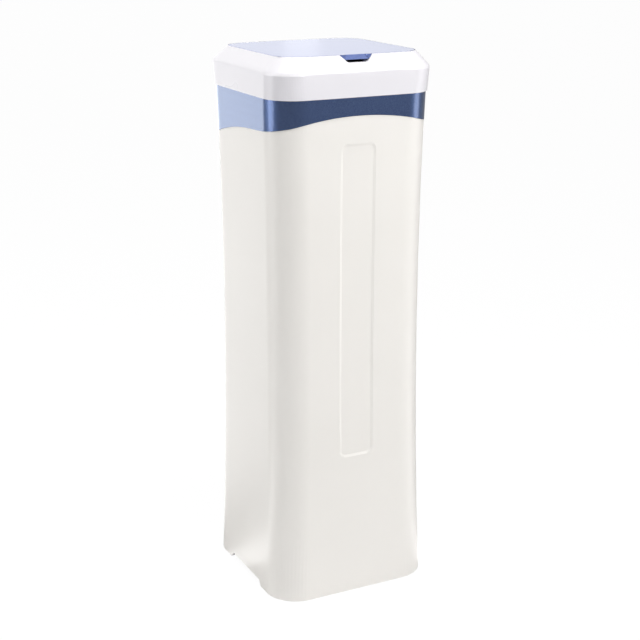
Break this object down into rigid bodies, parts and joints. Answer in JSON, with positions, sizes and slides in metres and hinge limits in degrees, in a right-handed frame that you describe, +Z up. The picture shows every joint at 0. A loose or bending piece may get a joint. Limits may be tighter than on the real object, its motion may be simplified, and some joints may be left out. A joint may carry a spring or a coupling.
{
  "type": "activated carbon water filter",
  "caption": "Floor standing activated carbon water filter: hourglass cabinet, flip lid, pressure tank, motor driven disc valve, tilted display panel, pipe threads at the back.",
  "frame": {"origin": "on the floor under the middle of the cabinet", "axes": "+Z up, front with the finger notch towards -Y, pipe threads towards +Y"},
  "size_m": [0.3522, 0.3792, 1.1],
  "materials": {
    "shell_white": "satin, fine moulded grain",
    "collar_white": "gloss",
    "metallic_blue": "pearl gloss lacquer",
    "tray_black": "matte",
    "vessel_fibre": "wound fibre, satin",
    "valve_black": "satin, glass filled",
    "boot_black": "matte",
    "seal_rubber": "matte",
    "screw_steel": "brushed",
    "disc_ceramic": "lapped",
    "gear_white": "satin",
    "head_grey": "matte",
    "motor_metal": "zinc plated",
    "board_green": "solder mask",
    "lens_clear": "polished",
    "lcd_dark": "matte",
    "button_grey": "matte",
    "riser_white": "satin",
    "gravel": "rough",
    "carbon": "granular"
  },
  "bodies": {
    "cabinet": {"base_screws": "screw_steel", "base_tray": "tray_black", "blue_band": "metallic_blue", "bonnet": "valve_black", "bonnet_screws": "screw_steel", "bottom_distributor": "riser_white", "cabinet_body": "shell_white", "carbon_bed": "carbon", "collar_screws": "screw_steel", "connector_gaskets": "seal_rubber", "control_board": "board_green", "display_lens": "lens_clear", "drain_clip": "screw_steel", "drain_elbow": "valve_black", "drain_flow_restrictor": "seal_rubber", "drive_motor": "motor_metal", "fixed_disc": "disc_ceramic", "gravel_bed": "gravel", "head_base": "head_grey", "head_cover": "head_grey", "hinge_pins": "screw_steel", "inlet_connector": "valve_black", "inlet_nut": "valve_black", "lcd_module": "lcd_dark", "lid_bumpers": "seal_rubber", "motor_screws": "screw_steel", "neck_seal": "seal_rubber", "outlet_connector": "valve_black", "outlet_nut": "valve_black", "power_socket": "tray_black", "pressure_tank": "vessel_fibre", "riser_seal": "seal_rubber", "riser_tube": "riser_white", "shaft_seals": "seal_rubber", "tank_boot": "boot_black", "tank_neck_insert": "valve_black", "top_basket": "riser_white", "top_collar": "collar_white", "valve_body": "valve_black"},
    "lid": {"flip_lid": "metallic_blue"},
    "button_menu": {"button_menu": "button_grey"},
    "button_up": {"button_up": "button_grey"},
    "button_down": {"button_down": "button_grey"},
    "button_enter": {"button_enter": "button_grey"},
    "rotor": {"moving_disc": "disc_ceramic", "disc_shaft": "gear_white", "drive_gear": "gear_white"},
    "pinion": {"motor_pinion": "gear_white"}
  },
  "joints": [
    {"name": "lid_hinge", "type": "hinge", "parent": "cabinet", "child": "lid", "pos_m": [0, 0.1395, 1.0978], "axis": [-1, 0, 0], "range_deg": [0, 95]},
    {"name": "menu_press", "type": "slide", "parent": "cabinet", "child": "button_menu", "axis": [0, 0.3523, -0.9359], "range_m": [0, 0.0012], "stiffness_N_per_m": 250, "springref_m": -0.001},
    {"name": "up_press", "type": "slide", "parent": "cabinet", "child": "button_up", "axis": [0, 0.3523, -0.9359], "range_m": [0, 0.0012], "stiffness_N_per_m": 250, "springref_m": -0.001},
    {"name": "down_press", "type": "slide", "parent": "cabinet", "child": "button_down", "axis": [0, 0.3523, -0.9359], "range_m": [0, 0.0012], "stiffness_N_per_m": 250, "springref_m": -0.001},
    {"name": "enter_press", "type": "slide", "parent": "cabinet", "child": "button_enter", "axis": [0, 0.3523, -0.9359], "range_m": [0, 0.0012], "stiffness_N_per_m": 250, "springref_m": -0.001},
    {"name": "rotor_turn", "type": "hinge", "parent": "cabinet", "child": "rotor", "pos_m": [0, 0, 0.98], "axis": [0, 0, 1], "continuous": true},
    {"name": "pinion_spin", "type": "hinge", "parent": "cabinet", "child": "pinion", "pos_m": [0.045, 0, 1], "axis": [0, 0, 1], "continuous": true}
  ],
  "couplings": [
    {"joint": "pinion_spin", "follows": "rotor_turn", "ratio": -3.5}
  ]
}
